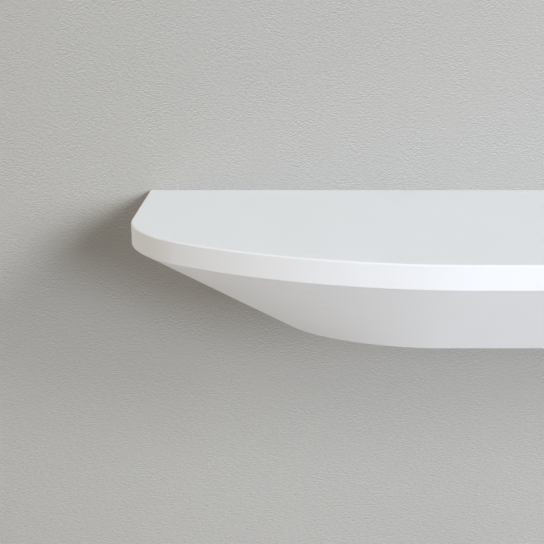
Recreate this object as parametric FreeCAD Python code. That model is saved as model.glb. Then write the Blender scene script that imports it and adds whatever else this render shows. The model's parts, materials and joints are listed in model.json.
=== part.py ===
import FreeCAD, Part
import math
import os

os.makedirs("parts", exist_ok=True)

# Floating wall shelf, millimetres. +Z is up, the wall is the plane Y = 0 and the room is towards -Y.
# The origin is the centre of the wall screw pattern, level with the rods that carry the shelf.

# Outline of the top board
shelf_length = 900.0
shelf_depth = 300.0
board_thickness = 18.0
board_top_radius = 1.5
board_under_radius = 1.0
curve_start = 142.0  # straight part of each end, from the wall
board_curve = 250.0  # length along X of each curved end
blend_angle = 37.0  # degrees of the quarter turn that the large front arc takes

# Tapered body under the board
body_height = 64.0
body_reveal = 1.0  # the body starts this far inside the board's edge
foot_inset = 122.0  # each end of the underside, inside the board's end
foot_setback = 68.0  # front of the underside, behind the board's front
foot_curve = 120.0  # length along X of the curved ends of the underside
apron_thickness = 12.0
floor_thickness = 12.0
floor_edge_radius = 1.5

# Kerfs that let the curved aprons bend
kerf_width = 3.0
kerf_pitch = 14.0
kerf_skin = 3.0

# Frame inside the body
plate_recess = 14.0  # room behind the rear rail for the wall plate and its screw heads
rail_thickness = 18.0
rib_thickness = 15.0
rib_margin = 30.0  # outer rib, inside the end of the underside
glue_gap = 0.1
block_width = 60.0
block_front_gap = 62.0  # between the blocks and the front of the underside
glue_block_width = 30.0
glue_block_thickness = 8.0

# Wall bracket
plate_thickness = 6.0
plate_height = 44.0
plate_overhang = 60.0  # beyond the outer rods
plate_corner_radius = 6.0
rod_diameter = 14.0
rod_margin = 108.0  # outer rod, inside the end of the underside
rod_tip_gap = 6.0
rod_tip_chamfer = 2.0
spigot_diameter = 10.0
weld_leg = 4.0
flat_depth = 1.0
flat_lead = 20.0  # the flat starts this far behind the lock screw
screw_hole_diameter = 7.0
screw_hole_offset = 45.0  # round holes, inboard of the outer rods
slot_offset = 60.0  # slots, each side of the middle rod
slot_length = 20.0

# Sleeves, lock screws and their inserts
sleeve_wall = 2.0
sleeve_clearance = 0.07
seat_clearance = 0.05
lock_distance = 110.0  # lock screws, from the wall
lock_diameter = 6.0
lock_length = 16.0
lock_gap = 0.1  # between the screw's tip and the flat
lock_clearance = 0.05
lock_chamfer = 0.8
key_across_flats = 3.0
key_depth = 3.5
insert_diameter = 10.0
insert_length = 13.0
passage_clearance = 0.5
access_diameter = 9.0

# Dowels and rail screws
dowel_diameter = 8.0
dowel_clearance = 0.05
dowel_end_gap = 0.5
board_dowel_depth = 10.0
floor_dowel_depth = 7.0
frame_dowel_depth = 14.0
dowel_rear = 45.0  # rear dowels, in front of the rail and clear of its screws
dowel_front = 8.0  # front dowels, beyond the start of the curve
block_dowel_offset = 20.0
rail_screw_diameter = 4.4
rail_screw_length = 50.0
rail_screw_head = 9.0
rail_screw_height = 15.0  # above and below the rods
rail_screw_spread = 18.0  # each side of a rod
screw_clearance = 0.1

# Levels and stations that follow from the sizes above
body_space = body_height - floor_thickness
under_board = body_space / 2
top_level = under_board + board_thickness
floor_top = under_board - body_space
underside = floor_top - floor_thickness
half_length = shelf_length / 2
rail_front = plate_recess + rail_thickness
outer_rod = half_length - foot_inset - rod_margin
outer_rib = half_length - foot_inset - rib_margin
inner_rib = outer_rod / 2
block_end = shelf_depth - foot_setback - block_front_gap
rod_tip = block_end - rod_tip_gap
rod_radius = rod_diameter / 2
sleeve_bore = rod_radius + sleeve_clearance
sleeve_radius = sleeve_bore + sleeve_wall
lock_radius = lock_diameter / 2
lock_tip = -rod_radius + flat_depth - lock_gap
turn = math.radians(blend_angle)
sides = {"left": -1, "right": 1}


def point(x, y, z):
    return FreeCAD.Vector(x, y, z)


def line(a, b):
    return Part.LineSegment(a, b).toShape()


def cylinder(radius, length, base, direction):
    return Part.makeCylinder(radius, length, base, direction)


def box(low, high):
    return Part.makeBox(high[0] - low[0], high[1] - low[1], high[2] - low[2], point(*low))


def mirrored(shape):
    return shape.mirror(point(0, 0, 0), point(1, 0, 0))


class Plan:
    """One level outline: straight ends, then two tangent arcs to the straight front."""

    def __init__(self, half, depth, curve, level):
        self.half, self.depth, self.curve, self.level = half, depth, curve, level
        rise = depth - curve_start
        s, c = math.sin(turn), math.cos(turn)
        scale = (1 - c) * (1 - s) - c * s
        self.front_radius = (rise * (1 - s) - c * curve) / scale
        self.end_radius = ((1 - c) * curve - s * rise) / scale
        self.tangent = half - curve
        self.front_centre = (self.tangent, -depth + self.front_radius)
        self.end_centre = (half - self.end_radius, -curve_start)

    def at(self, angle):
        """Point of the right-hand curve where its outward normal is this far round from the front."""
        large = angle <= turn
        radius = self.front_radius if large else self.end_radius
        x, y = self.front_centre if large else self.end_centre
        return point(x + radius * math.sin(angle), y - radius * math.cos(angle), self.level)

    def curve_edges(self):
        """The two arcs of the right-hand end, from the side to the front."""
        quarter = math.pi / 2
        end = Part.Arc(self.at(quarter), self.at((quarter + turn) / 2), self.at(turn))
        front = Part.Arc(self.at(turn), self.at(turn / 2), self.at(0.0))
        return [end.toShape(), front.toShape()]

    def wire(self):
        """The whole outline, closed along the wall."""
        z = self.level
        corner = point(self.half, 0, z)
        right = [line(corner, point(self.half, -curve_start, z))] + self.curve_edges()
        left = [mirrored(edge) for edge in right]
        front = line(point(self.tangent, -self.depth, z), point(-self.tangent, -self.depth, z))
        back = line(point(-self.half, 0, z), corner)
        return Part.Wire(Part.__sortEdges__(right + [front] + left + [back]))


def board_plan(level):
    return Plan(half_length, shelf_depth, board_curve, level)


def body_plan(level, wall=0.0):
    """Outline of the tapered body at a level, or of its surface moved in by a wall's thickness."""
    share = (under_board - level) / body_height
    side_run = foot_inset - body_reveal
    front_run = foot_setback - body_reveal
    side = body_reveal + side_run * share
    front = body_reveal + front_run * share
    curve = board_curve - body_reveal + (foot_curve - board_curve + body_reveal) * share
    side_wall = wall * math.hypot(1, side_run / body_height)
    front_wall = wall * math.hypot(1, front_run / body_height)
    return Plan(half_length - side - side_wall, shelf_depth - front - front_wall, curve - side_wall, level)


def ruled(upper, lower):
    return Part.makeLoft([upper, lower], True, True)


def body_solid(high, low, wall=0.0):
    return ruled(body_plan(high, wall).wire(), body_plan(low, wall).wire())


def inner_solid(wall):
    return body_solid(under_board, floor_top, wall)


def save(name, shape):
    shape.exportStep(f"parts/{name}.step")


def frame_stations():
    """X of each rod block and rib, with the name of its side."""
    blocks = {"left": -outer_rod, "center": 0.0, "right": outer_rod}
    ribs = {}
    for side, sign in sides.items():
        ribs[f"{side}_inner"] = sign * inner_rib
        ribs[f"{side}_outer"] = sign * outer_rib
    return blocks, ribs


blocks_at, ribs_at = frame_stations()


def dowel_points():
    """Plan positions of the dowels: two in line in each rib, two on a diagonal in each rod block."""
    rear, front = -(rail_front + dowel_rear), -(curve_start + dowel_front)
    points = [(x, y) for x in ribs_at.values() for y in (rear, front)]
    for x in blocks_at.values():
        points += [(x - block_dowel_offset, rear), (x + block_dowel_offset, front)]
    return points


def dowel_set(face, into_panel, up, clearance):
    """Dowels across the joint at a level, or their holes when a clearance is given."""
    radius = dowel_diameter / 2 - dowel_clearance + clearance
    gap = dowel_end_gap if clearance == 0 else 0.0
    low = face - (frame_dowel_depth if up else into_panel) + gap
    high = face + (into_panel if up else frame_dowel_depth) - gap
    return [cylinder(radius, high - low, point(x, y, low), point(0, 0, 1)) for x, y in dowel_points()]


def dowel_holes():
    upper = dowel_set(under_board, board_dowel_depth, True, dowel_clearance)
    lower = dowel_set(floor_top, floor_dowel_depth, False, dowel_clearance)
    return upper + lower


def rail_screw_points():
    """X and Z of the screws through the rear rail: one into each rib, two into each rod block."""
    points = [(x, 0.0) for x in ribs_at.values()]
    for x in blocks_at.values():
        points += [(x - rail_screw_spread, rail_screw_height), (x + rail_screw_spread, -rail_screw_height)]
    return points


def rail_screw(x, z, grow=0.0):
    """Countersunk screw, head flush with the back of the rail; grown a little it is its own hole."""
    head = rail_screw_head / 2 + grow
    shank = rail_screw_diameter / 2 + grow
    taper = head - shank
    length = rail_screw_length + grow
    profile = [(0, 0), (head, 0), (shank, taper), (shank, length - shank), (0, length)]
    wire = Part.makePolygon([point(r, -plate_recess - s, 0) for r, s in profile + profile[:1]])
    screw = Part.Face(wire).revolve(point(0, 0, 0), point(0, 1, 0), 360)
    screw.translate(point(x, 0, z))
    return screw


def top_board():
    face = Part.Face(board_plan(under_board).wire())
    board = face.extrude(point(0, 0, board_thickness))
    for level, radius in ((top_level, board_top_radius), (under_board, board_under_radius)):
        rim = [e for e in board.Edges if on_rim(e, level)]
        board = board.makeFillet(radius, rim)
    return board.cut(dowel_set(under_board, board_dowel_depth, True, dowel_clearance))


def on_rim(edge, level):
    """An edge of the outline at a level, apart from the one along the wall."""
    box_of = edge.BoundBox
    flat = abs(box_of.ZMin - level) < 1e-3 and abs(box_of.ZMax - level) < 1e-3
    return flat and box_of.YMin < -1.0


def bottom_panel():
    panel = body_solid(floor_top, underside)
    rim = [e for e in panel.Edges if on_rim(e, underside)]
    panel = panel.makeFillet(floor_edge_radius, rim)
    access = [
        cylinder(access_diameter / 2, floor_thickness, point(x, -lock_distance, underside), point(0, 0, 1))
        for x in (-outer_rod, outer_rod)
    ]
    return panel.cut(dowel_set(floor_top, floor_dowel_depth, False, dowel_clearance) + access)


def front_apron():
    def strip(level):
        outer, inner = body_plan(level), body_plan(level, apron_thickness)
        corners = [(1, outer), (1, inner), (-1, inner), (-1, outer), (1, outer)]
        return Part.makePolygon([point(s * p.tangent, -p.depth, level) for s, p in corners])

    return ruled(strip(under_board), strip(floor_top))


def end_apron():
    def strip(level):
        outer, inner = body_plan(level), body_plan(level, apron_thickness)
        corners = [(outer, 0.0), (outer, curve_start), (inner, curve_start), (inner, 0.0), (outer, 0.0)]
        return Part.makePolygon([point(p.half, -y, level) for p, y in corners])

    return ruled(strip(under_board), strip(floor_top))


def curved_apron():
    """Bent panel of the right-hand end, slotted on its inner side along the lines it bends on."""

    def strip(level):
        outer, inner = body_plan(level), body_plan(level, apron_thickness)
        quarter = math.pi / 2
        edges = outer.curve_edges() + [line(outer.at(0.0), inner.at(0.0))]
        edges += inner.curve_edges() + [line(inner.at(quarter), outer.at(quarter))]
        return Part.Wire(Part.__sortEdges__(edges))

    return ruled(strip(under_board), strip(floor_top)).cut(kerfs())


def kerfs():
    outline = body_plan(under_board)
    spans = [(0.0, turn, outline.front_radius), (turn, math.pi / 2, outline.end_radius)]
    slots = []
    for start, end, radius in spans:
        count = int(radius * (end - start) / kerf_pitch)
        step = (end - start) / count
        slots += [kerf(start + (i + 0.5) * step) for i in range(count)]
    return slots


def kerf(angle):
    """Slot along one ruling of the bent panel, leaving a skin on the outside."""
    normal = point(math.sin(angle), -math.cos(angle), 0)
    along = point(math.cos(angle), math.sin(angle), 0) * (kerf_width / 2)
    run = (body_plan(under_board).at(angle) - body_plan(underside).at(angle)).dot(normal)
    slope = math.hypot(1, run / body_height)

    def section(level):
        outer = body_plan(level).at(angle) - normal * (kerf_skin * slope)
        inner = body_plan(level).at(angle) - normal * (2 * apron_thickness * slope)
        return Part.makePolygon([outer + along, outer - along, inner - along, inner + along, outer + along])

    return ruled(section(under_board), section(floor_top))


def rear_rail():
    def strip(level):
        plan = body_plan(level, apron_thickness)
        reach = plan.half - glue_gap
        corners = [(reach, plate_recess), (reach, rail_front), (-reach, rail_front), (-reach, plate_recess)]
        return Part.makePolygon([point(x, -y, level) for x, y in corners + corners[:1]])

    rail = ruled(strip(under_board), strip(floor_top))
    holes = [sleeve_seat(x) for x in blocks_at.values()]
    return rail.cut(holes + [rail_screw(x, z, screw_clearance) for x, z in rail_screw_points()])


def sleeve_seat(x):
    length = block_end - plate_recess
    return cylinder(sleeve_radius + seat_clearance, length, point(x, -plate_recess, 0), point(0, -1, 0))


def rib(x):
    """Cross rib, cut to the inside of the tapered body."""
    low = (x - rib_thickness / 2, -shelf_depth, floor_top)
    slab = box(low, (x + rib_thickness / 2, -rail_front, under_board))
    fitted = slab.common(inner_solid(apron_thickness + glue_gap))
    return fitted.cut(dowel_holes() + [rail_screw(a, z, screw_clearance) for a, z in rail_screw_points()])


def rod_block(x, locked):
    low = (x - block_width / 2, -block_end, floor_top)
    block = box(low, (x + block_width / 2, -rail_front, under_board))
    holes = [sleeve_seat(x)] + dowel_holes()
    holes += [rail_screw(a, z, screw_clearance) for a, z in rail_screw_points()]
    if locked:
        base = point(x, -lock_distance, floor_top)
        passage = lock_radius + passage_clearance
        holes.append(cylinder(insert_diameter / 2 + seat_clearance, insert_length, base, point(0, 0, 1)))
        holes.append(cylinder(passage, -floor_top, base, point(0, 0, 1)))
    return block.cut(holes)


def sleeve(x, locked):
    start = point(x, -plate_recess, 0)
    length = block_end - plate_recess
    tube = cylinder(sleeve_radius, length, start, point(0, -1, 0))
    tube = tube.cut(cylinder(sleeve_bore, length, start, point(0, -1, 0)))
    if locked:
        passage = lock_radius + passage_clearance
        hole = cylinder(passage, 2 * sleeve_radius, point(x, -lock_distance, 0), point(0, 0, -1))
        tube = tube.cut(hole)
    return tube


def rod(x, locked):
    """Support rod with a spigot in the plate, a chamfered tip and a flat for the lock screw."""
    tip = rod_radius - rod_tip_chamfer
    spigot = spigot_diameter / 2
    profile = [(0, 0), (spigot, 0), (spigot, plate_thickness), (rod_radius, plate_thickness)]
    profile += [(rod_radius, rod_tip - rod_tip_chamfer), (tip, rod_tip), (0, rod_tip)]
    wire = Part.makePolygon([point(r, -s, 0) for r, s in profile + profile[:1]])
    bar = Part.Face(wire).revolve(point(0, 0, 0), point(0, 1, 0), 360)
    bar.translate(point(x, 0, 0))
    if locked:
        start = -(lock_distance - flat_lead)
        low = (x - rod_radius, -rod_tip, -rod_radius)
        bar = bar.cut(box(low, (x + rod_radius, start, -rod_radius + flat_depth)))
    return bar


def weld(x):
    """Fillet weld round the foot of a rod."""
    corners = [(rod_radius, 0), (rod_radius + weld_leg, 0), (rod_radius, weld_leg)]
    wire = Part.makePolygon([point(r, -plate_thickness - s, 0) for r, s in corners + corners[:1]])
    bead = Part.Face(wire).revolve(point(0, 0, 0), point(0, 1, 0), 360)
    bead.translate(point(x, 0, 0))
    return bead


def wall_plate():
    reach = outer_rod + plate_overhang
    plate = box((-reach, -plate_thickness, -plate_height / 2), (reach, 0, plate_height / 2))
    corners = [e for e in plate.Edges if e.BoundBox.YLength > plate_thickness / 2]
    plate = plate.makeFillet(plate_corner_radius, corners)
    out = point(0, -1, 0)
    holes = [cylinder(spigot_diameter / 2, plate_thickness, point(x, 0, 0), out) for x in blocks_at.values()]
    radius = screw_hole_diameter / 2
    for sign in sides.values():
        at = point(sign * (outer_rod - screw_hole_offset), 0, 0)
        holes.append(cylinder(radius, plate_thickness, at, out))
        run = slot_length / 2 - radius
        middle = sign * slot_offset
        ends = [cylinder(radius, plate_thickness, point(middle + d, 0, 0), out) for d in (-run, run)]
        low = (middle - run, -plate_thickness, -radius)
        holes.append(box(low, (middle + run, 0, radius)).fuse(ends).removeSplitter())
    return plate.cut(holes)


def thread_insert(x):
    base = point(x, -lock_distance, floor_top)
    shell = cylinder(insert_diameter / 2, insert_length, base, point(0, 0, 1))
    return shell.cut(cylinder(lock_radius + lock_clearance, insert_length, base, point(0, 0, 1)))


def lock_screw(x):
    """Headless screw with a chamfered point and a hexagon socket at its lower end."""
    low = lock_tip - lock_length
    edge = lock_radius - lock_chamfer
    profile = [(0, low), (edge, low), (lock_radius, low + lock_chamfer)]
    profile += [(lock_radius, lock_tip - lock_chamfer), (edge, lock_tip), (0, lock_tip)]
    wire = Part.makePolygon([point(r, 0, z) for r, z in profile + profile[:1]])
    body = Part.Face(wire).revolve(point(0, 0, 0), point(0, 0, 1), 360)
    corner = key_across_flats / math.sqrt(3)
    turns = [math.radians(60 * i) for i in range(7)]
    hexagon = Part.makePolygon([point(corner * math.cos(t), corner * math.sin(t), low) for t in turns])
    body = body.cut(Part.Face(hexagon).extrude(point(0, 0, key_depth)))
    body.translate(point(x, -lock_distance, 0))
    return body


def glue_blocks():
    """Strips glued inside the body across the four joints between its aprons."""
    outer = inner_solid(apron_thickness + glue_gap)
    lining = outer.cut(inner_solid(apron_thickness + glue_gap + glue_block_thickness))
    joint = (body_plan(under_board).tangent + body_plan(floor_top).tangent) / 2
    half = glue_block_width / 2
    front = box((joint - half, -shelf_depth, floor_top), (joint + half, -curve_start - half, under_board))
    side = box((0, -curve_start - half, floor_top), (half_length, -curve_start + half, under_board))
    right = [lining.common(front), lining.common(side)]
    return right + [mirrored(piece) for piece in right]


def group(solids):
    return Part.makeCompound([s for shape in solids for s in shape.Solids])


save("top_board", top_board())
save("bottom_panel", bottom_panel())
save("front_apron", front_apron())
for side, sign in sides.items():
    for name, piece in (("end", end_apron()), ("curved", curved_apron())):
        save(f"{side}_{name}_apron", piece if sign > 0 else mirrored(piece))
save("rear_rail", rear_rail())
for name, x in ribs_at.items():
    save(f"{name}_rib", rib(x))
for name, x in blocks_at.items():
    locked = name != "center"
    save(f"{name}_rod_block", rod_block(x, locked))
    save(f"{name}_sleeve", sleeve(x, locked))
    save(f"{name}_rod", rod(x, locked))
save("glue_blocks", group(glue_blocks()))
save("board_dowels", group(dowel_set(under_board, board_dowel_depth, True, 0)))
save("floor_dowels", group(dowel_set(floor_top, floor_dowel_depth, False, 0)))
save("rail_screws", group([rail_screw(x, z) for x, z in rail_screw_points()]))
save("wall_plate", wall_plate())
save("rod_welds", group([weld(x) for x in blocks_at.values()]))
save("thread_inserts", group([thread_insert(x) for x in (-outer_rod, outer_rod)]))
for side, sign in sides.items():
    save(f"{side}_lock_screw", lock_screw(sign * outer_rod))
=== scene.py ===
import bpy
import bmesh
import json
import math
from mathutils import Matrix, Vector


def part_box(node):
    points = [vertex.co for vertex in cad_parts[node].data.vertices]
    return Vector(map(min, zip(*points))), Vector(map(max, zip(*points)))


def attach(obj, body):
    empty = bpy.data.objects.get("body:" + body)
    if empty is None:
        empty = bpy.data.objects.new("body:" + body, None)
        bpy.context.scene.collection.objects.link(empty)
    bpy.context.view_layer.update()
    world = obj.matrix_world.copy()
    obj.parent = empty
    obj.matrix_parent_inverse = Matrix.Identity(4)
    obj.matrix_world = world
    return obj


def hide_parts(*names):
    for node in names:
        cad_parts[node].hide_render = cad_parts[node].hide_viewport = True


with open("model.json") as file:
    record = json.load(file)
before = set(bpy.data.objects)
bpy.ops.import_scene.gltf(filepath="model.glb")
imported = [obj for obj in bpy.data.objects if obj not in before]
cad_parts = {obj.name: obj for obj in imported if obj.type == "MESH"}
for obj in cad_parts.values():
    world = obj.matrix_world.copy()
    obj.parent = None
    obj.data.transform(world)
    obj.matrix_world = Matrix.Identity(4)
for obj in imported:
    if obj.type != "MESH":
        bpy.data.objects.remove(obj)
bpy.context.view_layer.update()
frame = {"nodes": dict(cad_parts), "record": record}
nodes = frame["nodes"]
slotOfNode = {part["node"]: part["material_slot"] for part in frame["record"]["subparts"]}
bodies = frame["record"]["behaviour"]["bodies"]
bodyOfNode = {name: body for body, names in bodies.items() for name in names}
nodeBox = {name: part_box(name) for name in nodes}
print("frame loaded:", len(nodes), "nodes")

mm = 0.001
tolerance = 0.01 * mm  # places nearer than this count as one
quarterTurn = math.pi / 2
bothSides = {"left": -1, "right": 1}
rodSites = ("left", "center", "right")

# The stage: a wall that the shelf hangs on, a floor far below, and the light of a bright room.
stage = {
    "wallGap": 0.4 * mm,
    "wallWidth": 9.0,
    "wallHeight": 5.0,
    "floorDrop": 1.2,
    "wallColor": (0.495, 0.485, 0.46),
    "wallShade": 0.965,  # share of its colour left where the clouds are darkest
    "wallClouds": {"Scale": 3.0, "Contrast": 1.2},
    "wallRoughness": 0.9,
    "wallSpecular": 0.2,
    "ridges": {"Coarse": 560.0, "Fine": 1120.0, "Fine_Share": 0.3},
    "ridgeSquash": (0.75, 1.0, 1.9),
    # how far above the ridges' height it is read again, for their painted shade
    "ridgeRise": 1.5 * mm,
    # strength of the ridges' painted light and shade, weakest to strongest, spread in patches
    "paintedRidgeShade": (0.5, 1.6),
    "ridgePatches": {"Scale": 28.0, "Contrast": 3.0},
    "lumps": {"scales": (230.0, 460.0), "fineShare": 0.3, "strength": 1.0, "depth": 1.2 * mm},
    "floorColor": (0.62, 0.62, 0.615),
    "floorShade": 0.97,
    "floorClouds": {"Scale": 2.0, "Contrast": 1.2},
    "floorRoughness": 0.8,
    "floorSeen": 0.2,  # share of its colour that takes light where the camera sees it
    "floorGlow": 1.1,
    "roomColor": (0.0, 0.0, 0.0),
    "skyColor": (0.86, 0.87, 0.88),
}
# Each lamp stands this far round from the front (to the right) and this high, in degrees.
lampAim = (0.0, -0.1, 0.0)
lamps = {
    "windowLight": {
        "round": 26.0, "up": 12.0, "away": 3.3, "size": (1.2, 0.9), "power": 72.0,
        "color": (0.82, 0.885, 0.98)},
    "highLight": {
        "round": 42.0, "up": 26.0, "away": 3.3, "size": (1.0, 1.0), "power": 61.0,
        "color": (0.93, 0.96, 1.0)},
    "highSideLight": {
        "round": -86.0, "up": 50.0, "away": 3.3, "size": (1.0, 1.0), "power": 39.0,
        "color": (0.97, 1.0, 0.96)},
    "warmFill": {
        "round": -50.0, "up": -5.0, "away": 3.3, "size": (1.0, 1.0), "power": 16.0,
        "color": (1.0, 0.77, 0.53)},
    "backLight": {
        "round": 180.0, "up": -3.0, "away": 2.6, "size": (2.4, 0.5), "power": 24.0,
        "color": (1.0, 1.0, 1.0)},
}
shot = {
    "place": (-0.3532, -0.8791, 0.1911),
    "pitchDown": 0.2561,  # radians
    "lens": 60.0,
    "sensor": 36.0,
    "shiftAcross": 0.042,
    "nearest": 0.01,
}


def middle(name):
    low, high = nodeBox[name]
    return (low + high) / 2


def newGroup(name, inputs, outputs):
    group = bpy.data.node_groups.new(name, "ShaderNodeTree")
    for label, kind, value in inputs:
        socket = group.interface.new_socket(name=label, in_out="INPUT", socket_type="NodeSocket" + kind)
        if value is not None:
            socket.default_value = value
    for label, kind in outputs:
        group.interface.new_socket(name=label, in_out="OUTPUT", socket_type="NodeSocket" + kind)
    entry = group.nodes.new("NodeGroupInput")
    result = group.nodes.new("NodeGroupOutput")
    return group, entry.outputs, result.inputs


def addNode(tree, kind, **values):
    node = tree.nodes.new("ShaderNode" + kind)
    for name, value in values.items():
        setattr(node, name, value)
    return node


noiseRoughness = 0.55


def noise(tree, vector, scale, detail):
    node = addNode(tree, "TexNoise")
    node.inputs["Detail"].default_value = detail
    node.inputs["Roughness"].default_value = noiseRoughness
    tree.links.new(vector, node.inputs["Vector"])
    setOrLink(tree, scale, node.inputs["Scale"])
    return node.outputs[0]


def setOrLink(tree, value, socket):
    if isinstance(value, bpy.types.NodeSocket):
        tree.links.new(value, socket)
    else:
        socket.default_value = value


def calculate(tree, operation, first, second=0.0, clamp=False):
    node = addNode(tree, "Math", operation=operation, use_clamp=clamp)
    setOrLink(tree, first, node.inputs[0])
    setOrLink(tree, second, node.inputs[1])
    return node.outputs[0]


def remap(tree, value, low, high, toLow, toHigh):
    node = addNode(tree, "MapRange")
    for number, entry in enumerate((value, low, high, toLow, toHigh)):
        setOrLink(tree, entry, node.inputs[number])
    return node.outputs[0]


# Turns a mask into values between two ends.
def between(tree, mask, low, high):
    return remap(tree, mask, 0.0, 1.0, low, high)


# Inputs 6 and 7 and output 2 are the node's colours.
def blendColors(tree, factor, first, second):
    node = addNode(tree, "Mix", data_type="RGBA")
    setOrLink(tree, factor, node.inputs[0])
    for color, socket in ((first, node.inputs[6]), (second, node.inputs[7])):
        setOrLink(tree, color if isinstance(color, bpy.types.NodeSocket) else (*color, 1), socket)
    return node.outputs[2]


# Cloudy mask, for uneven colour and gloss.
def buildMottle():
    group, entry, result = newGroup(
        "mottle",
        [("Vector", "Vector", None), ("Scale", "Float", 40.0), ("Contrast", "Float", 1.5)],
        [("Mask", "Float")])
    cloud = noise(group, entry["Vector"], entry["Scale"], detail=5.0)
    centred = calculate(group, "SUBTRACT", cloud, 0.5)
    strong = calculate(group, "MULTIPLY", centred, entry["Contrast"])
    group.links.new(calculate(group, "ADD", strong, 0.5, clamp=True), result["Mask"])
    return group


# Height made of a coarse and a fine wave, for sprayed, machined and plastered faces.
def buildRelief():
    group, entry, result = newGroup(
        "relief",
        [("Vector", "Vector", None), ("Coarse", "Float", 200.0), ("Fine", "Float", 800.0),
         ("Fine Share", "Float", 0.3)],
        [("Height", "Float")])
    coarse = noise(group, entry["Vector"], entry["Coarse"], detail=2.0)
    fine = noise(group, entry["Vector"], entry["Fine"], detail=3.0)
    mix = addNode(group, "Mix", data_type="FLOAT")
    group.links.new(entry["Fine Share"], mix.inputs[0])
    group.links.new(coarse, mix.inputs[2])
    group.links.new(fine, mix.inputs[3])
    group.links.new(mix.outputs[0], result["Height"])
    return group


fleckCore = 0.6  # share of a fleck's size that is solid, inside its soft edge


# Small separate flecks, for fibres and the rays of wood.
def buildFlecks():
    group, entry, result = newGroup(
        "flecks",
        [("Vector", "Vector", None), ("Scale", "Float", 900.0), ("Size", "Float", 0.3)],
        [("Mask", "Float")])
    cells = addNode(group, "TexVoronoi")
    group.links.new(entry["Vector"], cells.inputs["Vector"])
    group.links.new(entry["Scale"], cells.inputs["Scale"])
    core = calculate(group, "MULTIPLY", entry["Size"], fleckCore)
    group.links.new(remap(group, cells.outputs["Distance"], core, entry["Size"], 1.0, 0.0), result["Mask"])
    return group


mottle, relief, flecks = buildMottle(), buildRelief(), buildFlecks()


# A finish starts as a principled shader and the object's own coordinates, stretched if asked.
def newFinish(name, stretch=(1, 1, 1)):
    material = bpy.data.materials.new(name)
    material.use_nodes = True
    tree = material.node_tree
    shader = tree.nodes["Principled BSDF"]
    place = addNode(tree, "TexCoord").outputs["Object"]
    if stretch != (1, 1, 1):
        mapping = addNode(tree, "Mapping")
        mapping.inputs["Scale"].default_value = stretch
        tree.links.new(place, mapping.inputs["Vector"])
        place = mapping.outputs["Vector"]
    return material, tree, shader, place


def useGroup(tree, group, vector, **values):
    node = addNode(tree, "Group", node_tree=group)
    tree.links.new(vector, node.inputs["Vector"])
    for name, value in values.items():
        node.inputs[name.replace("_", " ")].default_value = value
    return node.outputs[0]


# Bumps of two sizes; the fine ones have this share of the height.
def addRelief(tree, shader, vector, scales, fineShare, strength, depth):
    height = useGroup(tree, relief, vector, Coarse=scales[0], Fine=scales[1], Fine_Share=fineShare)
    bump = addNode(tree, "Bump")
    bump.inputs["Strength"].default_value = strength
    bump.inputs["Distance"].default_value = depth
    tree.links.new(height, bump.inputs["Height"])
    tree.links.new(bump.outputs["Normal"], shader.inputs["Normal"])


lacquerFinish = {
    "color": (0.864, 0.869, 0.884),
    "shade": (0.85, 0.855, 0.87),
    "clouds": {"Scale": 14.0, "Contrast": 2.0},
    "rawFrom": -0.02 * mm,  # from here to the wall the board is bare
    "rawColor": (0.44, 0.345, 0.245),
    "fibreColor": (0.36, 0.275, 0.19),
    "fibres": {"Scale": 1500.0, "Size": 0.35},
    "mist": {"Scale": 18.0, "Contrast": 2.0},
    "rawCover": (0.7, 0.95),
    "sheen": {"Scale": 60.0, "Contrast": 1.6},
    "roughness": (0.5, 0.58),
    "peel": {"scales": (420.0, 1600.0), "fineShare": 0.25, "strength": 0.5, "depth": 0.012 * mm},
}


# Satin lacquer with a trace of orange peel; the wall side is bare board that caught a little of the spray.
def makeLacquer():
    values = lacquerFinish
    material, tree, shader, place = newFinish("whiteLacquer")
    cloud = useGroup(tree, mottle, place, **values["clouds"])
    white = blendColors(tree, cloud, values["color"], values["shade"])
    split = addNode(tree, "SeparateXYZ")
    tree.links.new(place, split.inputs[0])
    mist = between(tree, useGroup(tree, mottle, place, **values["mist"]), *values["rawCover"])
    wallSide = calculate(tree, "GREATER_THAN", split.outputs[1], values["rawFrom"])
    fibres = useGroup(tree, flecks, place, **values["fibres"])
    bare = blendColors(tree, fibres, values["rawColor"], values["fibreColor"])
    color = blendColors(tree, calculate(tree, "MULTIPLY", wallSide, mist), white, bare)
    tree.links.new(color, shader.inputs["Base Color"])
    sheen = between(tree, useGroup(tree, mottle, place, **values["sheen"]), *values["roughness"])
    tree.links.new(sheen, shader.inputs["Roughness"])
    addRelief(tree, shader, place, **values["peel"])
    return material


fibreboardFinish = {
    "color": (0.48, 0.365, 0.245),
    "shade": (0.40, 0.295, 0.19),
    "clouds": {"Scale": 45.0, "Contrast": 1.4},
    "paleColor": (0.60, 0.49, 0.36),
    "paleFibres": {"Scale": 1300.0, "Size": 0.38},
    "paleShare": 0.55,
    "darkColor": (0.22, 0.15, 0.09),
    "darkFibres": {"Scale": 700.0, "Size": 0.2},
    "roughness": 0.86,
    "sawnFace": {"scales": (900.0, 2600.0), "fineShare": 0.6, "strength": 0.5, "depth": 0.06 * mm},
}


# Medium-density fibreboard: brown, with short pale and dark fibres and a matt sawn face.
def makeFibreboard():
    values = fibreboardFinish
    material, tree, shader, place = newFinish("rawFibreboard")
    cloud = useGroup(tree, mottle, place, **values["clouds"])
    brown = blendColors(tree, cloud, values["color"], values["shade"])
    pale = useGroup(tree, flecks, place, **values["paleFibres"])
    amount = calculate(tree, "MULTIPLY", pale, values["paleShare"])
    withPale = blendColors(tree, amount, brown, values["paleColor"])
    dark = useGroup(tree, flecks, place, **values["darkFibres"])
    tree.links.new(blendColors(tree, dark, withPale, values["darkColor"]), shader.inputs["Base Color"])
    shader.inputs["Roughness"].default_value = values["roughness"]
    addRelief(tree, shader, place, **values["sawnFace"])
    return material


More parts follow.
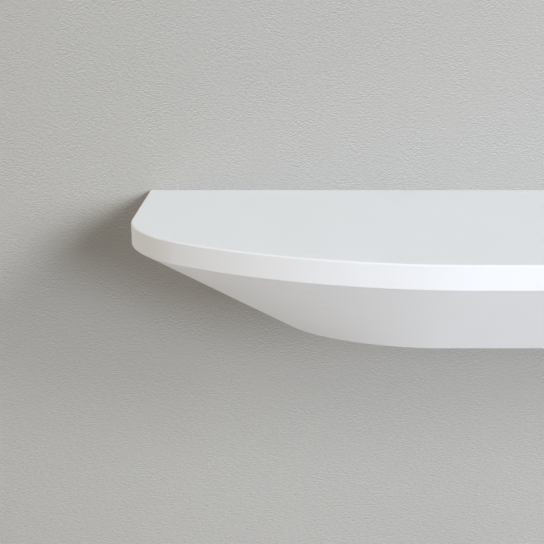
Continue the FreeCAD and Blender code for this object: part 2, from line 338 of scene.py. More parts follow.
beechFinish = {
    "color": (0.62, 0.42, 0.26),
    "grainColor": (0.70, 0.51, 0.33),
    "stretch": (1.0, 0.09, 1.0),  # the grain runs out from the wall
    "grain": {"Scale": 60.0, "Distortion": 5.0, "Detail": 3.0, "Detail Scale": 1.4},
    "rayColor": (0.42, 0.25, 0.14),
    "rays": {"Scale": 900.0, "Size": 0.28},
    "roughness": 0.58,
    "planedFace": {"scales": (400.0, 1500.0), "fineShare": 0.5, "strength": 0.4, "depth": 0.03 * mm},
}


# Planed beech with its long grain and short dark rays.
def makeBeech():
    values = beechFinish
    material, tree, shader, place = newFinish("beech", values["stretch"])
    band = addNode(tree, "TexWave", bands_direction="X")
    for name, value in values["grain"].items():
        band.inputs[name].default_value = value
    tree.links.new(place, band.inputs["Vector"])
    wood = blendColors(tree, band.outputs[1], values["color"], values["grainColor"])
    rays = useGroup(tree, flecks, place, **values["rays"])
    tree.links.new(blendColors(tree, rays, wood, values["rayColor"]), shader.inputs["Base Color"])
    shader.inputs["Roughness"].default_value = values["roughness"]
    addRelief(tree, shader, place, **values["planedFace"])
    return material


powderFinish = {
    "color": (0.022, 0.022, 0.024),
    "shade": (0.036, 0.036, 0.038),
    "clouds": {"Scale": 35.0, "Contrast": 1.8},
    "rubColor": (0.11, 0.11, 0.115),
    "rubs": {"Scale": 220.0, "Contrast": 6.0},
    "rubShare": 0.25,
    "roughness": (0.46, 0.58),
    "texture": {"scales": (1100.0, 2600.0), "fineShare": 0.35, "strength": 0.7, "depth": 0.05 * mm},
}


# Black powder coat with a fine even texture and a few paler rub marks.
def makePowderCoat():
    values = powderFinish
    material, tree, shader, place = newFinish("blackPowderCoat")
    cloud = useGroup(tree, mottle, place, **values["clouds"])
    black = blendColors(tree, cloud, values["color"], values["shade"])
    rubbed = useGroup(tree, mottle, place, **values["rubs"])
    amount = calculate(tree, "MULTIPLY", calculate(tree, "MULTIPLY", cloud, rubbed), values["rubShare"])
    tree.links.new(blendColors(tree, amount, black, values["rubColor"]), shader.inputs["Base Color"])
    tree.links.new(between(tree, rubbed, *values["roughness"]), shader.inputs["Roughness"])
    addRelief(tree, shader, place, **values["texture"])
    return material


nylonFinish = {
    "color": (0.78, 0.76, 0.69),
    "shade": (0.72, 0.70, 0.62),
    "clouds": {"Scale": 120.0, "Contrast": 1.5},
    "roughness": 0.42,
    "waxShare": 0.15,
    "waxDepth": 1.0 * mm,
    "turnedFace": {"scales": (700.0, 2000.0), "fineShare": 0.3, "strength": 0.3, "depth": 0.02 * mm},
}


# Natural nylon, slightly waxy.
def makeNylon():
    values = nylonFinish
    material, tree, shader, place = newFinish("naturalNylon")
    cloud = useGroup(tree, mottle, place, **values["clouds"])
    milky = blendColors(tree, cloud, values["color"], values["shade"])
    tree.links.new(milky, shader.inputs["Base Color"])
    shader.inputs["Roughness"].default_value = values["roughness"]
    shader.inputs["Subsurface Weight"].default_value = values["waxShare"]
    shader.inputs["Subsurface Scale"].default_value = values["waxDepth"]
    addRelief(tree, shader, place, **values["turnedFace"])
    return material


metalFinish = {
    "dullPatches": {"Scale": 300.0, "Contrast": 2.2},
    "toolMarks": {"scales": (1500.0, 4000.0), "fineShare": 0.5, "strength": 0.3, "depth": 0.01 * mm},
}
brassFinish = {"color": (0.80, 0.62, 0.30), "dullColor": (0.62, 0.45, 0.19), "roughness": (0.24, 0.42)}
zincFinish = {"color": (0.66, 0.66, 0.67), "dullColor": (0.50, 0.50, 0.52), "roughness": (0.28, 0.46)}


# A plated or turned metal, with fine marks from the tool and dull patches.
def makeMetal(name, values):
    material, tree, shader, place = newFinish(name)
    cloud = useGroup(tree, mottle, place, **metalFinish["dullPatches"])
    color = blendColors(tree, cloud, values["color"], values["dullColor"])
    tree.links.new(color, shader.inputs["Base Color"])
    shader.inputs["Metallic"].default_value = 1.0
    tree.links.new(between(tree, cloud, *values["roughness"]), shader.inputs["Roughness"])
    addRelief(tree, shader, place, **metalFinish["toolMarks"])
    return material


finishes = {
    "white_lacquer": makeLacquer(),
    "raw_fibreboard": makeFibreboard(),
    "beech": makeBeech(),
    "bracket_steel": makePowderCoat(),
    "sleeve_nylon": makeNylon(),
    "insert_brass": makeMetal("turnedBrass", brassFinish),
    "screw_steel": makeMetal("zincPlate", zincFinish),
}
print("finishes made:", len(finishes))


# The finished mesh becomes an object in the place of its nodes, on their body and in their finish.
def placePiece(bm, name, *nodeNames, sharpAngle=32):
    bmesh.ops.recalc_face_normals(bm, faces=bm.faces)
    mesh = bpy.data.meshes.new(name)
    bm.to_mesh(mesh)
    bm.free()
    mesh.shade_smooth()
    mesh.set_sharp_from_angle(angle=math.radians(sharpAngle))
    slotName = slotOfNode[nodeNames[0]]
    mesh.materials.append(finishes[slotName])
    piece = bpy.data.objects.new(name, mesh)
    bpy.context.scene.collection.objects.link(piece)
    weighted = piece.modifiers.new("evenNormals", "WEIGHTED_NORMAL")
    weighted.keep_sharp = True
    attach(piece, bodyOfNode[nodeNames[0]])
    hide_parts(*nodeNames)


def bevelEdges(bm, edges, offset, segments):
    bmesh.ops.bevel(
        bm, geom=edges, offset=offset, offset_type="OFFSET", segments=segments, profile=0.5,
        affect="EDGES", material=-1, clamp_overlap=True)


# A flat outline is filled and extruded, and its far side takes the outline of another level.
def loft(bm, outline, low, high):
    def key(place):
        return tuple(round(c, 6) for c in place)  # to a thousandth of a millimetre

    face = bm.faces.new([bm.verts.new(place) for place in outline(low)])
    made = bmesh.ops.extrude_face_region(bm, geom=[face], use_keep_orig=True)
    targets = {key(start): end for start, end in zip(outline(low), outline(high))}
    for vertex in made["geom"]:
        if isinstance(vertex, bmesh.types.BMVert):
            vertex.co = targets[key(vertex.co)]
    bmesh.ops.recalc_face_normals(bm, faces=bm.faces)  # bevels round an edge the right way only with these


# Opens round holes in a plate: its flat faces go, and are filled again around the holes. A hole goes right
# through with chamfered ends, or is only so deep from the far face.
def punch(bm, axis, faces, holes):
    near, far = faces
    opened = [far] if all("deep" in hole for hole in holes) else [near, far]

    def lies(part, level):
        return all(abs(v.co[axis] - level) < tolerance for v in part.verts)

    flat = [face for face in bm.faces if any(lies(face, level) for level in opened)]
    bmesh.ops.delete(bm, geom=flat, context="FACES_ONLY")
    rims = {level: [e for e in bm.edges if e.is_boundary and lies(e, level)] for level in opened}
    inward = 1 if far > near else -1
    for hole in holes:
        if "deep" in hole:
            levels = [(far - inward * hole["deep"], 0.0), (far, 0.0)]
        else:
            chamfer, step = hole["chamfer"], inward * hole["chamfer"]
            levels = [(near, chamfer), (near + step, 0.0), (far - step, 0.0), (far, chamfer)]
        rings = [holeRing(bm, axis, level, hole, grow) for level, grow in levels]
        for first, second in zip(rings, rings[1:]):
            bmesh.ops.bridge_loops(bm, edges=first + second)
        rims[far] += rings[-1]
        if "deep" in hole:
            bmesh.ops.contextual_create(bm, geom=rings[0])
        else:
            rims[near] += rings[0]
    for level in opened:
        bmesh.ops.triangle_fill(bm, use_beauty=True, use_dissolve=False, edges=rims[level])


# One ring of edges round a hole; a slot is a ring pulled apart along X.
def holeRing(bm, axis, level, hole, grow):
    turn = Matrix.Rotation(quarterTurn, 4, "X") if axis == 1 else Matrix.Identity(4)
    half = Matrix.Rotation(math.pi / hole["sides"], 4, "Z")
    made = bmesh.ops.create_circle(
        bm, cap_ends=False, segments=hole["sides"], radius=hole["radius"] + grow, matrix=turn @ half)
    pull = hole.get("pull", 0.0)
    for vertex in made["verts"]:
        vertex.co.x += math.copysign(pull, vertex.co.x) + hole["at"][0]
        vertex.co[3 - axis] += hole["at"][1]
        vertex.co[axis] = level
    return list({edge for vertex in made["verts"] for edge in vertex.link_edges})


outlineValues = {
    "curveStart": -nodeBox["right_end_apron"][0].y,  # straight part of each end, from the wall
    "blendAngle": math.radians(37.0),  # what the large front arc takes of the quarter turn
    "step": math.radians(0.75),
}


# Straight ends, then two tangent arcs on each side of the straight front.
def outlineShape(half, depth, curveLength):
    rise = depth - outlineValues["curveStart"]
    s, c = math.sin(outlineValues["blendAngle"]), math.cos(outlineValues["blendAngle"])
    scale = (1 - c) * (1 - s) - c * s
    return {
        "half": half,
        "depth": depth,
        "tangent": half - curveLength,
        "frontRadius": (rise * (1 - s) - c * curveLength) / scale,
        "endRadius": ((1 - c) * curveLength - s * rise) / scale,
    }


# Point of the right-hand curve where its outward normal has turned this far from the front.
def curvePoint(shape, angle, z):
    if angle <= outlineValues["blendAngle"]:
        radius = shape["frontRadius"]
        centre = (shape["tangent"], radius - shape["depth"])
    else:
        radius = shape["endRadius"]
        centre = (shape["half"] - radius, -outlineValues["curveStart"])
    return Vector((centre[0] + radius * math.sin(angle), centre[1] - radius * math.cos(angle), z))


def curveAngles():
    count = round(quarterTurn / outlineValues["step"])
    return [quarterTurn * i / count for i in range(count + 1)]


def fullOutline(shape, z):
    right = [curvePoint(shape, angle, z) for angle in curveAngles()]
    right.append(Vector((shape["half"], 0, z)))
    left = [Vector((-p.x, p.y, z)) for p in reversed(right)]
    return right + left


boardValues = {"topRadius": 1.5 * mm, "underRadius": 1.0 * mm, "curveLength": 250.0 * mm, "segments": 5}


def boardShape():
    low, high = nodeBox["top_board"]
    return outlineShape(high.x, -low.y, boardValues["curveLength"])


# Edges of the rounded outline at a level, without the one along the wall.
def rimEdges(bm, z):
    def onRim(edge):
        level = all(abs(v.co.z - z) < tolerance for v in edge.verts)
        return level and min(v.co.y for v in edge.verts) < -tolerance
    return [edge for edge in bm.edges if onRim(edge)]


def makeBoard():
    low, high = nodeBox["top_board"]
    bm = bmesh.new()
    loft(bm, lambda z: fullOutline(boardShape(), z), low.z, high.z)
    bevelEdges(bm, rimEdges(bm, high.z), boardValues["topRadius"], boardValues["segments"])
    bevelEdges(bm, rimEdges(bm, low.z), boardValues["underRadius"], boardValues["segments"])
    punch(bm, 2, (high.z, low.z), dowelHoles(nodeBox["board_dowels"][1].z - low.z))
    placePiece(bm, "topBoard", "top_board")


# The body's outline at a level lies on the straight lines between its outlines at the aprons' two ends. The
# inner outline of its walls is this much further in, measured square to the slopes of the end and the front.
def bodyShape(z, wall=0.0):
    apronLow, apronHigh = nodeBox["right_curved_apron"]
    panelLow, panelHigh = nodeBox["bottom_panel"]
    frontLow, frontHigh = nodeBox["front_apron"]
    upper = (apronHigh.x, -frontLow.y, apronHigh.x - apronLow.x)
    lower = (panelHigh.x, -panelLow.y, panelHigh.x - frontHigh.x)
    drop = apronHigh.z - panelHigh.z
    share = (apronHigh.z - z) / drop
    half, depth, curve = (a + (b - a) * share for a, b in zip(upper, lower))
    endWall = wall * math.hypot(1, (upper[0] - lower[0]) / drop)
    frontWall = wall * math.hypot(1, (upper[1] - lower[1]) / drop)
    return outlineShape(half - endWall, depth - frontWall, curve - endWall)


panelValues = {
    "edgeRadius": 1.5 * mm,
    "segments": 4,
    "keyHole": 9.0 * mm,
    "keyHoleChamfer": 0.5 * mm,
    "holeSides": 48,
}


def makeBottomPanel():
    low, high = nodeBox["bottom_panel"]
    bm = bmesh.new()
    loft(bm, lambda z: fullOutline(bodyShape(z), z), low.z, high.z)
    # Front and underside meet at a wide angle, so the rounding starts closer to the corner than its radius.
    slope = math.atan2(high.z - low.z, bodyShape(high.z)["depth"] - bodyShape(low.z)["depth"])
    setback = panelValues["edgeRadius"] * math.tan(slope / 2)
    bevelEdges(bm, rimEdges(bm, low.z), setback, panelValues["segments"])
    holes = dowelHoles(high.z - nodeBox["floor_dowels"][0].z)
    for side in bothSides:
        screw = middle(f"{side}_lock_screw")
        holes.append({"at": (screw.x, screw.y), "radius": panelValues["keyHole"] / 2,
                      "chamfer": panelValues["keyHoleChamfer"], "sides": panelValues["holeSides"]})
    punch(bm, 2, (low.z, high.z), holes)
    placePiece(bm, "bottomPanel", "bottom_panel")


apronValues = {"thickness": 12.0 * mm, "kerfWidth": 3.0 * mm, "kerfPitch": 14.0 * mm, "kerfSkin": 3.0 * mm}


# Point straight in from one this far along the outside: on the inner arc of the bent panel, or on the floor
# of a slot.
def innerPoint(angle, z, slotted, along):
    low, high = nodeBox["right_curved_apron"]
    normal = Vector((math.sin(angle), -math.cos(angle), 0))
    tangent = Vector((math.cos(angle), math.sin(angle), 0))
    outer = curvePoint(bodyShape(z), angle, z) + tangent * along
    if slotted:
        run = (curvePoint(bodyShape(high.z), angle, 0) - curvePoint(bodyShape(low.z), angle, 0)).dot(normal)
        return outer - normal * (apronValues["kerfSkin"] * math.hypot(1, run / (high.z - low.z)))
    shape = bodyShape(z, apronValues["thickness"])
    radius = shape["frontRadius"] if angle <= outlineValues["blendAngle"] else shape["endRadius"]
    centre = curvePoint(shape, angle, z) - normal * radius
    aside = (outer - centre).dot(tangent)
    return centre + tangent * aside + normal * math.sqrt(radius ** 2 - aside ** 2)


# Inner side of the bent panel, as (angle, slotted, along): from the end back to the front, with a slot of
# one width wherever it is sawn.
def kerfedSide():
    shape = bodyShape(nodeBox["right_curved_apron"][1].z)
    blend = outlineValues["blendAngle"]
    reach = apronValues["kerfWidth"] / 2
    stops = []
    arcs = ((0.0, blend, shape["frontRadius"]), (blend, quarterTurn, shape["endRadius"]))
    for start, end, radius in arcs:
        count = int(radius * (end - start) / apronValues["kerfPitch"])
        cell = (end - start) / count
        for i in range(count):
            centre = start + (i + 0.5) * cell
            stops += [(start + i * cell, False, 0.0), (centre, False, -reach), (centre, True, -reach)]
            stops += [(centre, True, reach), (centre, False, reach)]
    stops.append((quarterTurn, False, 0.0))
    return stops[::-1]


def makeCurvedApron(side, sign):
    low, high = nodeBox[f"{side}_curved_apron"]
    inner = kerfedSide()

    def outline(z):
        places = [curvePoint(bodyShape(z), angle, z) for angle in curveAngles()]
        places += [innerPoint(angle, z, slotted, along) for angle, slotted, along in inner]
        return [Vector((sign * p.x, p.y, z)) for p in places]

    bm = bmesh.new()
    loft(bm, outline, low.z, high.z)
    # Near the end the slope meets the flat lower edge at only 28 degrees, and that edge stays crisp.
    placePiece(bm, f"{side}CurvedApron", f"{side}_curved_apron", sharpAngle=20)


mergeDistance = 0.001 * mm


# A line of (radius, height) points, spun right round Z.
def spinProfile(profile, sides, closed=False):
    bm = bmesh.new()
    line = [bm.verts.new((radius, 0, height)) for radius, height in profile]
    ends = line[1:] + line[:1] if closed else line[1:]
    edges = [bm.edges.new(pair) for pair in zip(line, ends)]
    bmesh.ops.spin(
        bm, geom=line + edges, cent=(0, 0, 0), axis=(0, 0, 1), dvec=(0, 0, 0), angle=2 * math.pi,
        steps=sides, use_merge=True, use_duplicate=False)
    bmesh.ops.remove_doubles(bm, verts=bm.verts, dist=mergeDistance)
    return bm


def stations(start, end, count):
    return [start + (end - start) * i / count for i in range(count + 1)]


flankSteepness = 1.2  # next to a plain zigzag, so that the crest is left flat


# Cuts a screw thread into a round bar along Z: what stands higher than the ridge allows is pushed in.
def cutThread(bm, thread):
    for vertex in bm.verts:
        radius = math.hypot(vertex.co.x, vertex.co.y)
        if radius < thread["root"] or not thread["from"] < vertex.co.z < thread["to"]:
            continue
        turned = math.atan2(vertex.co.y, vertex.co.x) / (2 * math.pi)
        ridge = abs((vertex.co.z / thread["pitch"] - turned) % 1.0 * 2 - 1)
        limit = thread["root"] + (thread["crest"] - thread["root"]) * min(1.0, ridge * flankSteepness)
        if radius > limit:
            vertex.co.x *= limit / radius
            vertex.co.y *= limit / radius


# Closes an open end at a level, with a tapered recess of this outline in its middle.
def sinkRecess(bm, level, outline, depth, taper):
    rim = [e for e in bm.edges if e.is_boundary and all(abs(v.co.z - level) < tolerance for v in e.verts)]
    mouth = [bm.verts.new((x, y, level)) for x, y in outline]
    floor = [bm.verts.new((x * taper, y * taper, level + depth)) for x, y in outline]
    edges = [bm.edges.new(pair) for pair in zip(mouth, mouth[1:] + mouth[:1])]
    for i, vertex in enumerate(mouth):
        bm.faces.new((vertex, mouth[i - 1], floor[i - 1], floor[i]))
    bm.faces.new(floor)
    bmesh.ops.triangle_fill(bm, use_beauty=True, use_dissolve=False, edges=rim + edges)


def addCopies(target, source, matrices):
    mesh = bpy.data.meshes.new("copied")
    source.to_mesh(mesh)
    source.free()
    for matrix in matrices:
        count = len(target.verts)
        target.from_mesh(mesh)
        target.verts.ensure_lookup_table()
        bmesh.ops.transform(target, matrix=matrix, verts=target.verts[count:])
    bpy.data.meshes.remove(mesh)


# Turns +Z away from the wall and moves it to a place.
def awayFromWall(place):
    return Matrix.Translation(place) @ Matrix.Rotation(quarterTurn, 4, "X")


plateValues = {
    "cornerRadius": 6.0 * mm,
    "cornerSteps": 10,
    "rimBevel": 0.5 * mm,
    "rimSegments": 3,
    "screwHole": 7.0 * mm,
    "screwInboard": 45.0 * mm,  # round holes, inboard of the outer rods
    "slotOffset": 60.0 * mm,
    "slotLength": 20.0 * mm,
    "holeChamfer": 0.4 * mm,
    "spigotHole": 10.0 * mm,
    "holeSides": 48,
}


def plateHoles():
    values = plateValues
    shared = {"chamfer": values["holeChamfer"], "sides": values["holeSides"]}
    holes = [{"at": (middle(f"{place}_rod").x, 0), "radius": values["spigotHole"] / 2, **shared}
             for place in rodSites]
    radius = values["screwHole"] / 2
    for side, sign in bothSides.items():
        screwX = middle(f"{side}_rod").x - sign * values["screwInboard"]
        holes.append({"at": (screwX, 0), "radius": radius, **shared})
        pull = values["slotLength"] / 2 - radius
        holes.append({"at": (sign * values["slotOffset"], 0), "radius": radius, "pull": pull, **shared})
    return holes


def makeWallPlate():
    low, high = nodeBox["wall_plate"]
    radius, count = plateValues["cornerRadius"], plateValues["cornerSteps"]
    outline = []
    for quarter in range(4):
        turns = stations(quarter * quarterTurn, (quarter + 1) * quarterTurn, count)
        right, up = quarter in (0, 3), quarter in (0, 1)
        x = high.x - radius if right else low.x + radius
        z = high.z - radius if up else low.z + radius
        outline += [Vector((x + radius * math.cos(t), 0, z + radius * math.sin(t))) for t in turns]
    bm = bmesh.new()
    loft(bm, lambda y: [Vector((p.x, y, p.z)) for p in outline], low.y, high.y)
    rims = [e for e in bm.edges if abs(e.verts[0].co.y - e.verts[1].co.y) < tolerance]
    bevelEdges(bm, rims, plateValues["rimBevel"], plateValues["rimSegments"])
    punch(bm, 1, (low.y, high.y), plateHoles())
    placePiece(bm, "wallPlate", "wall_plate")


rodValues = {
    "spigot": 5.0 * mm,
    "edge": 0.4 * mm,
    "tipChamfer": 2.0 * mm,
    "flatDepth": 1.0 * mm,
    "flatLead": 20.0 * mm,  # the flat starts this far behind the lock screw
    "flatStep": 0.05 * mm,
    "sides": 64,
}


# Support rod with a spigot in the plate, a rounded-off tip and, where a screw locks it, a milled flat.
def makeRod(place):
    low, high = nodeBox[f"{place}_rod"]
    radius, reach = (high.x - low.x) / 2, -low.y
    plate = -nodeBox["wall_plate"][0].y
    spigot, edge, chamfer = rodValues["spigot"], rodValues["edge"], rodValues["tipChamfer"]
    tip = radius - chamfer
    profile = [(0, 0), (spigot - edge, 0), (spigot, edge), (spigot, plate), (radius, plate)]
    locked = place != "center"
    if locked:
        start = -middle(f"{place}_lock_screw").y - rodValues["flatLead"]
        profile += [(radius, start), (radius, start + rodValues["flatStep"])]
    profile += [(radius, reach - chamfer - edge), (radius - edge / 3, reach - chamfer)]
    profile += [(tip + edge / 3, reach - edge), (tip - edge / 2, reach), (0, reach)]
    bm = spinProfile(profile, rodValues["sides"])
    bmesh.ops.transform(bm, matrix=awayFromWall((middle(f"{place}_rod").x, 0, 0)), verts=bm.verts)
    if locked:
        flat = rodValues["flatDepth"] - radius
        geometry = bm.verts[:] + bm.edges[:] + bm.faces[:]
        bmesh.ops.bisect_plane(bm, geom=geometry, plane_co=(0, 0, flat), plane_no=(0, 0, 1))
        for vertex in bm.verts:
            if vertex.co.y < -start - tolerance:
                vertex.co.z = max(vertex.co.z, flat)
    placePiece(bm, f"{place}Rod", f"{place}_rod")


weldValues = {
    "bulge": 0.35 * mm,
    "slopeShares": (0.3, 0.5, 0.7),  # where its slope bulges, from the plate up
    "ripples": 26,
    "rippleDepth": 0.11,
    "sides": 208,
}


# Fillet weld at the foot of each rod: one bead laid round in overlapping scales.
def makeWelds():
    low, high = nodeBox["rod_welds"]
    rodRadius = nodeBox["center_rod"][1].x
    leg = high.y - low.y
    slope = [(rodRadius + leg * (1 - share) + weldValues["bulge"], leg * share)
             for share in weldValues["slopeShares"]]
    profile = [(rodRadius, 0), (rodRadius + leg, 0), *slope, (rodRadius, leg)]
    bead = spinProfile(profile, weldValues["sides"], closed=True)
    for vertex in bead.verts:
        radius = math.hypot(vertex.co.x, vertex.co.y)
        turned = math.atan2(vertex.co.y, vertex.co.x) / (2 * math.pi)
        phase = turned * weldValues["ripples"] + vertex.co.z / leg
        shrink = 1 - weldValues["rippleDepth"] * (phase % 1.0) ** 2
        grown = (rodRadius + (radius - rodRadius) * shrink) / radius
        vertex.co = Vector((vertex.co.x * grown, vertex.co.y * grown, vertex.co.z * shrink))
    bm = bmesh.new()
    places = [(middle(f"{place}_rod").x, high.y, 0) for place in rodSites]
    addCopies(bm, bead, [awayFromWall(place) for place in places])
    placePiece(bm, "rodWelds", "rod_welds", sharpAngle=40)


lockValues = {
    "chamfer": 0.8 * mm,
    "root": 2.45 * mm,
    "pitch": 1.0 * mm,
    "keyAcross": 3.0 * mm,
    "keyDepth": 3.5 * mm,
    "keyTaper": 0.97,
    "sides": 48,
    "stepsPerTurn": 8,
}


# Headless screw with a threaded body, a chamfered point and a hexagon socket at its lower end.
def makeLockScrew(side):
    low, high = nodeBox[f"{side}_lock_screw"]
    radius, length = (high.x - low.x) / 2, high.z - low.z
    chamfer, edge = lockValues["chamfer"], radius - lockValues["chamfer"]
    count = round((length - 2 * chamfer) / lockValues["pitch"] * lockValues["stepsPerTurn"])
    profile = [(edge, 0)] + [(radius, z) for z in stations(chamfer, length - chamfer, count)]
    bm = spinProfile(profile + [(edge, length), (0, length)], lockValues["sides"])
    cutThread(bm, {"root": lockValues["root"], "crest": radius, "pitch": lockValues["pitch"],
                   "from": tolerance, "to": length - tolerance})
    corner = lockValues["keyAcross"] / math.sqrt(3)
    socket = [(corner * math.cos(i * math.pi / 3), corner * math.sin(i * math.pi / 3)) for i in range(6)]
    sinkRecess(bm, 0, socket, lockValues["keyDepth"], lockValues["keyTaper"])
    place = middle(f"{side}_lock_screw")
    bmesh.ops.translate(bm, vec=(place.x, place.y, low.z), verts=bm.verts)
    placePiece(bm, f"{side}LockScrew", f"{side}_lock_screw")


insertValues = {
    "bore": 3.05 * mm,
    "edge": 0.4 * mm,
    "root": 4.3 * mm,
    "pitch": 2.0 * mm,
    "sides": 48,
    "steps": 44,
}


# Brass insert with a coarse outer thread that bites into the block, and an eased bore.
def makeInserts():
    low, high = nodeBox["thread_inserts"]
    outer = high.x - middle("right_lock_screw").x
    length, bore, edge = high.z - low.z, insertValues["bore"], insertValues["edge"]
    profile = [(bore, edge), (bore + edge, 0), (outer - edge, 0)]
    profile += [(outer, z) for z in stations(edge, length - edge, insertValues["steps"])]
    profile += [(outer - edge, length), (bore + edge, length), (bore, length - edge)]
    insert = spinProfile(profile, insertValues["sides"], closed=True)
    cutThread(insert, {"root": insertValues["root"], "crest": outer, "pitch": insertValues["pitch"],
                       "from": 2 * edge, "to": length - 2 * edge})
    bm = bmesh.new()
    places = [middle(f"{side}_lock_screw") for side in bothSides]
    addCopies(bm, insert, [Matrix.Translation((p.x, p.y, low.z)) for p in places])
    placePiece(bm, "threadInserts", "thread_inserts")


railScrewValues = {
    "head": 4.4 * mm,
    "rim": 0.1 * mm,
    "crest": 2.2 * mm,
    "root": 1.45 * mm,
    "pitch": 2.0 * mm,
    "smoothLength": 16.0 * mm,
    "crossReach": 2.3 * mm,
    "crossWidth": 0.55 * mm,
    "crossDepth": 2.2 * mm,
    "crossTaper": 0.45,
    "height": 15.0 * mm,  # above and below the rods
    "spread": 18.0 * mm,  # each side of a rod
    "sides": 32,
    "steps": 100,
}


def ribPlaces():
    return [middle(f"{side}_{kind}_rib").x for side in bothSides for kind in ("inner", "outer")]


# Screws through the rear rail: one into each rib, two on a diagonal into each rod block.
def railScrewPlaces():
    back = nodeBox["rear_rail"][1].y
    places = [(x, back, 0) for x in ribPlaces()]
    for place in rodSites:
        x = middle(f"{place}_rod").x
        for sign in bothSides.values():
            places.append((x + sign * railScrewValues["spread"], back, -sign * railScrewValues["height"]))
    return places


def makeRailScrews():
    values = railScrewValues
    low, high = nodeBox["rail_screws"]
    length, crest = high.y - low.y, values["crest"]
    taper = values["head"] - crest + values["rim"]
    profile = [(values["head"], 0), (values["head"], values["rim"]), (crest, taper)]
    profile += [(crest, z) for z in stations(values["smoothLength"], length - crest, values["steps"])]
    screw = spinProfile(profile + [(0, length)], values["sides"])
    cutThread(screw, {"root": values["root"], "crest": crest, "pitch": values["pitch"],
                      "from": values["smoothLength"], "to": length - tolerance})
    reach, width = values["crossReach"], values["crossWidth"]
    arm = [(reach, -width), (reach, width), (width, width)]
    cross = []
    for _ in range(4):
        cross += arm
        arm = [(-y, x) for x, y in arm]
    sinkRecess(screw, 0, cross, values["crossDepth"], values["crossTaper"])
    bm = bmesh.new()
    addCopies(bm, screw, [awayFromWall(place) for place in railScrewPlaces()])
    placePiece(bm, "railScrews", "rail_screws")


dowelValues = {
    "radius": 3.95 * mm,
    "chamfer": 0.8 * mm,
    "flutes": 12,
    "fluteDepth": 0.3 * mm,
    "behindRail": 45.0 * mm,
    "pastCurve": 8.0 * mm,
    "blockOffset": 20.0 * mm,
    "sides": 72,
    "holeRadius": 4.0 * mm,
    "holeSides": 32,
    "endGap": 0.5 * mm,
}


# Two dowels in line in each rib, and two on a diagonal in each rod block.
def dowelPlaces():
    rear = nodeBox["rear_rail"][0].y - dowelValues["behindRail"]
    front = -outlineValues["curveStart"] - dowelValues["pastCurve"]
    places = [(x, y) for x in ribPlaces() for y in (rear, front)]
    for place in rodSites:
        x = middle(f"{place}_rod").x
        places += [(x - dowelValues["blockOffset"], rear), (x + dowelValues["blockOffset"], front)]
    return places


# Holes in a board or panel that its dowels go this far into.
def dowelHoles(reach):
    values = dowelValues
    shared = {"radius": values["holeRadius"], "sides": values["holeSides"], "deep": reach + values["endGap"]}
    return [{"at": place, **shared} for place in dowelPlaces()]


# Grooved dowels with eased ends, all on one side of the frame.
def makeDowels(name, node):
    low, high = nodeBox[node]
    radius, chamfer, length = dowelValues["radius"], dowelValues["chamfer"], high.z - low.z
    profile = [(0, 0), (radius - chamfer, 0), (radius, chamfer), (radius, length - chamfer),
               (radius - chamfer, length), (0, length)]
    dowel = spinProfile(profile, dowelValues["sides"])
    for vertex in dowel.verts:
        reach = math.hypot(vertex.co.x, vertex.co.y)
        if reach > radius - chamfer / 2:
            wave = 0.5 - 0.5 * math.cos(math.atan2(vertex.co.y, vertex.co.x) * dowelValues["flutes"])
            grown = 1 - dowelValues["fluteDepth"] * wave ** 3 / reach
            vertex.co = Vector((vertex.co.x * grown, vertex.co.y * grown, vertex.co.z))
    bm = bmesh.new()
    addCopies(bm, dowel, [Matrix.Translation((x, y, low.z)) for x, y in dowelPlaces()])
    placePiece(bm, name, node)


makeBoard()
makeBottomPanel()
for side, sign in bothSides.items():
    makeCurvedApron(side, sign)
print("shelf body made")

makeWallPlate()
for place in rodSites:
    makeRod(place)
makeWelds()
for side in bothSides:
    makeLockScrew(side)
makeInserts()
makeRailScrews()
makeDowels("boardDowels", "board_dowels")
makeDowels("floorDowels", "floor_dowels")
print("bracket and fasteners made")


# The other nodes keep their shape and take their finish.
for name, node in nodes.items():
    if not node.hide_render:
        node.data.materials.clear()
        node.data.materials.append(finishes[slotOfNode[name]])
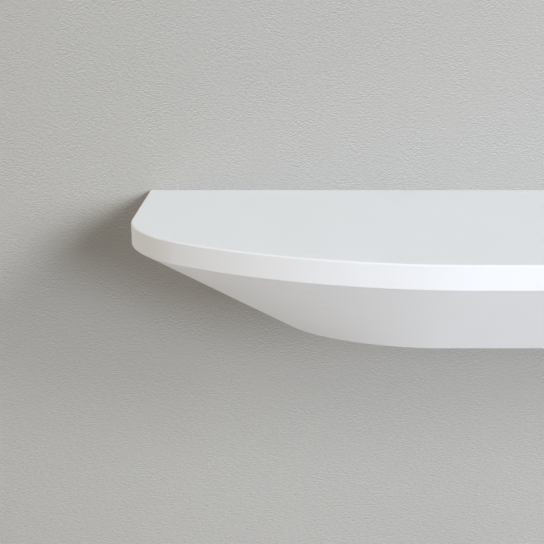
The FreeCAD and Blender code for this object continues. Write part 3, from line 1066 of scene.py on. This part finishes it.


# Rolled plaster paint: soft lumps, and fine ridges that are longer across than up, with painted shade: their
# upper sides are painted paler and their undersides darker, as if lit from above. The wall is clear to the
# eye from behind, and clear to the light of the lamp behind it.
def makeWallFinish():
    material, tree, shader, place = newFinish("plasterWall")
    cloud = useGroup(tree, mottle, place, **stage["wallClouds"])
    color = stage["wallColor"]
    tint = blendColors(tree, cloud, color, [c * stage["wallShade"] for c in color])
    squash = addNode(tree, "Mapping")
    squash.inputs["Scale"].default_value = stage["ridgeSquash"]
    tree.links.new(place, squash.inputs["Vector"])
    above = addNode(tree, "VectorMath", operation="ADD")
    tree.links.new(squash.outputs["Vector"], above.inputs[0])
    above.inputs[1].default_value = (0, 0, stage["ridgeRise"])
    heights = [useGroup(tree, relief, vector, **stage["ridges"])
               for vector in (squash.outputs["Vector"], above.outputs["Vector"])]
    patches = useGroup(tree, mottle, place, **stage["ridgePatches"])
    amount = between(tree, patches, *stage["paintedRidgeShade"])
    # Painted ridge shade: the height here less the height just above lightens the ridges' upper sides and
    # darkens their undersides in the colour.
    slope = calculate(tree, "MULTIPLY", calculate(tree, "SUBTRACT", *heights), amount)
    light = calculate(tree, "ADD", slope, 1.0)
    paintedRidgeShading = addNode(tree, "VectorMath", operation="SCALE")
    tree.links.new(tint, paintedRidgeShading.inputs[0])
    tree.links.new(light, paintedRidgeShading.inputs["Scale"])
    tree.links.new(paintedRidgeShading.outputs[0], shader.inputs["Base Color"])
    shader.inputs["Roughness"].default_value = stage["wallRoughness"]
    shader.inputs["Specular IOR Level"].default_value = stage["wallSpecular"]
    addRelief(tree, shader, squash.outputs["Vector"], **stage["lumps"])
    passing = addNode(tree, "LightPath").outputs["Is Shadow Ray"]
    behind = addNode(tree, "NewGeometry").outputs["Backfacing"]
    through = calculate(tree, "ABSOLUTE", calculate(tree, "SUBTRACT", passing, behind))
    mix = addNode(tree, "MixShader")
    clear = addNode(tree, "BsdfTransparent")
    tree.links.new(through, mix.inputs[0])
    tree.links.new(shader.outputs[0], mix.inputs[1])
    tree.links.new(clear.outputs[0], mix.inputs[2])
    tree.links.new(mix.outputs[0], tree.nodes["Material Output"].inputs["Surface"])
    return material


# To the camera alone the floor mostly glows, so that it stays evenly pale.
def makeFloorFinish():
    material, tree, shader, place = newFinish("paleFloor")
    cloud = useGroup(tree, mottle, place, **stage["floorClouds"])
    color = stage["floorColor"]
    tint = blendColors(tree, cloud, color, [c * stage["floorShade"] for c in color])
    seen = addNode(tree, "LightPath").outputs["Is Camera Ray"]
    lit = blendColors(tree, seen, tint, [c * stage["floorSeen"] for c in color])
    tree.links.new(lit, shader.inputs["Base Color"])
    tree.links.new(tint, shader.inputs["Emission Color"])
    tree.links.new(calculate(tree, "MULTIPLY", seen, stage["floorGlow"]), shader.inputs["Emission Strength"])
    shader.inputs["Roughness"].default_value = stage["floorRoughness"]
    return material


def makeSheet(name, width, height, matrix, material):
    bm = bmesh.new()
    bmesh.ops.create_grid(bm, x_segments=1, y_segments=1, size=0.5)
    bmesh.ops.scale(bm, vec=(width, height, 1), verts=bm.verts)
    bmesh.ops.transform(bm, matrix=matrix, verts=bm.verts)
    mesh = bpy.data.meshes.new(name)
    bm.to_mesh(mesh)
    bm.free()
    mesh.materials.append(material)
    sheet = bpy.data.objects.new(name, mesh)
    bpy.context.scene.collection.objects.link(sheet)


def makeStage():
    lift = stage["wallHeight"] / 2 - stage["floorDrop"]
    upright = Matrix.Translation((0, stage["wallGap"], lift)) @ Matrix.Rotation(quarterTurn, 4, "X")
    makeSheet("backdropWall", stage["wallWidth"], stage["wallHeight"], upright, makeWallFinish())
    flat = Matrix.Translation((0, 0, -stage["floorDrop"]))
    makeSheet("floor", stage["wallWidth"], stage["wallWidth"], flat, makeFloorFinish())


def addLamp(name, values):
    data = bpy.data.lights.new(name, "AREA")
    data.shape = "RECTANGLE"
    data.size, data.size_y = values["size"]
    data.energy = values["power"]
    data.color = values["color"]
    turn, lift = math.radians(values["round"]), math.radians(values["up"])
    toLamp = Vector((math.sin(turn) * math.cos(lift), -math.cos(turn) * math.cos(lift), math.sin(lift)))
    lamp = bpy.data.objects.new(name, data)
    lamp.location = Vector(lampAim) + toLamp * values["away"]
    lamp.rotation_euler = toLamp.to_track_quat("Z", "Y").to_euler()
    lamp.visible_glossy = False
    bpy.context.scene.collection.objects.link(lamp)


# The room gives no light of its own, but looks pale from the camera and in reflections.
def makeWorld():
    world = bpy.data.worlds.new("room")
    world.use_nodes = True
    bpy.context.scene.world = world
    tree = world.node_tree
    path = addNode(tree, "LightPath")
    seen = calculate(tree, "MAXIMUM", path.outputs["Is Camera Ray"], path.outputs["Is Transmission Ray"])
    seen = calculate(tree, "MAXIMUM", seen, path.outputs["Is Glossy Ray"])
    color = blendColors(tree, seen, stage["roomColor"], stage["skyColor"])
    tree.links.new(color, tree.nodes["Background"].inputs["Color"])


def makeCamera():
    data = bpy.data.cameras.new("camera")
    data.lens = shot["lens"]
    data.sensor_width = shot["sensor"]
    data.shift_x = shot["shiftAcross"]
    data.clip_start = shot["nearest"]
    camera = bpy.data.objects.new("camera", data)
    camera.location = shot["place"]
    camera.rotation_euler = (quarterTurn - shot["pitchDown"], 0, 0)
    bpy.context.scene.collection.objects.link(camera)
    bpy.context.scene.camera = camera


makeStage()
for name, values in lamps.items():
    addLamp(name, values)
makeWorld()
makeCamera()
bpy.context.scene.view_settings.view_transform = "Standard"
print("stage, light and camera set")
